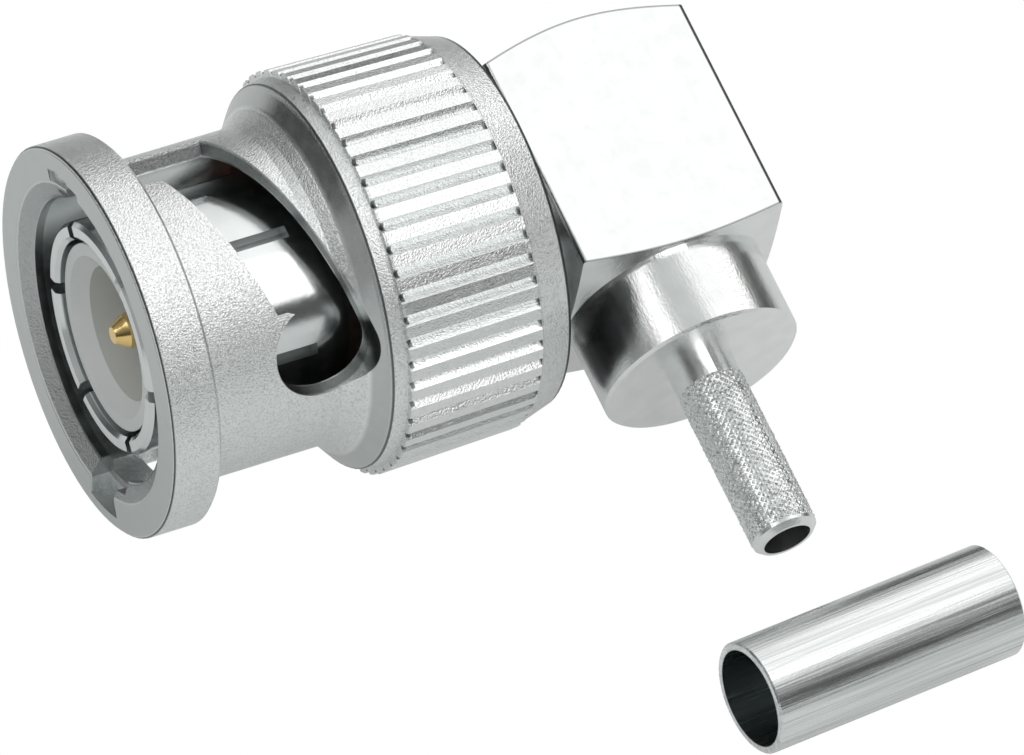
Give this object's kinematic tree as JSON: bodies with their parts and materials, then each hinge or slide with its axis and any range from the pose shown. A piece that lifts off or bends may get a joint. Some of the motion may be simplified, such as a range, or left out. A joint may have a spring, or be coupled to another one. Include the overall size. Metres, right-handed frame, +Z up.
{
  "type": "right-angle coaxial plug",
  "caption": "Right-angle bayonet coaxial plug for a crimped cable, with a ribbed turning nut and its loose crimp ferrule beside it.",
  "frame": {"origin": "middle of the footprint of the plug and its ferrule, on the surface they lie on", "axes": "-X out of the plug's mouth, along its axis; the cable leaves towards -Y and downwards; +Z up"},
  "size_m": [0.0244, 0.031, 0.0145],
  "materials": {
    "nickel_casting": "as cast, nickel plated, fine grained",
    "nickel_turned": "turned brass, nickel plated, bright",
    "spring_bronze": "spring bronze, nickel plated, bright",
    "gold_contact": "gold plated, bright",
    "dielectric": "white, waxy",
    "spring_steel": "rolled strip",
    "gasket_rubber": "moulded, matt",
    "ferrule_copper": "drawn copper tube, nickel plated, with fine lengthwise marks"
  },
  "bodies": {
    "plug": {"front_body": "nickel_turned", "outer_contact": "spring_bronze", "gasket": "gasket_rubber", "wave_spring": "spring_steel", "retaining_ring": "spring_steel", "front_insulator": "dielectric", "centre_pin": "gold_contact", "rear_insulator": "dielectric", "angle_body": "nickel_turned", "access_cap": "nickel_turned", "cap_insulator": "dielectric", "crimp_ferrule": "ferrule_copper"},
    "washer": {"thrust_washer": "spring_steel"},
    "nut": {"coupling_nut": "nickel_casting"}
  },
  "joints": [
    {"name": "nut_slide", "type": "slide", "parent": "plug", "child": "washer", "axis": [-1, 0, 0], "range_m": [0, 0.0008], "stiffness_N_per_m": 20000, "deforming": ["wave_spring"]},
    {"name": "nut_turn", "type": "hinge", "parent": "washer", "child": "nut", "pos_m": [-0.00367, 0.00822, 0.00725], "axis": [-1, 0, 0], "continuous": true}
  ]
}
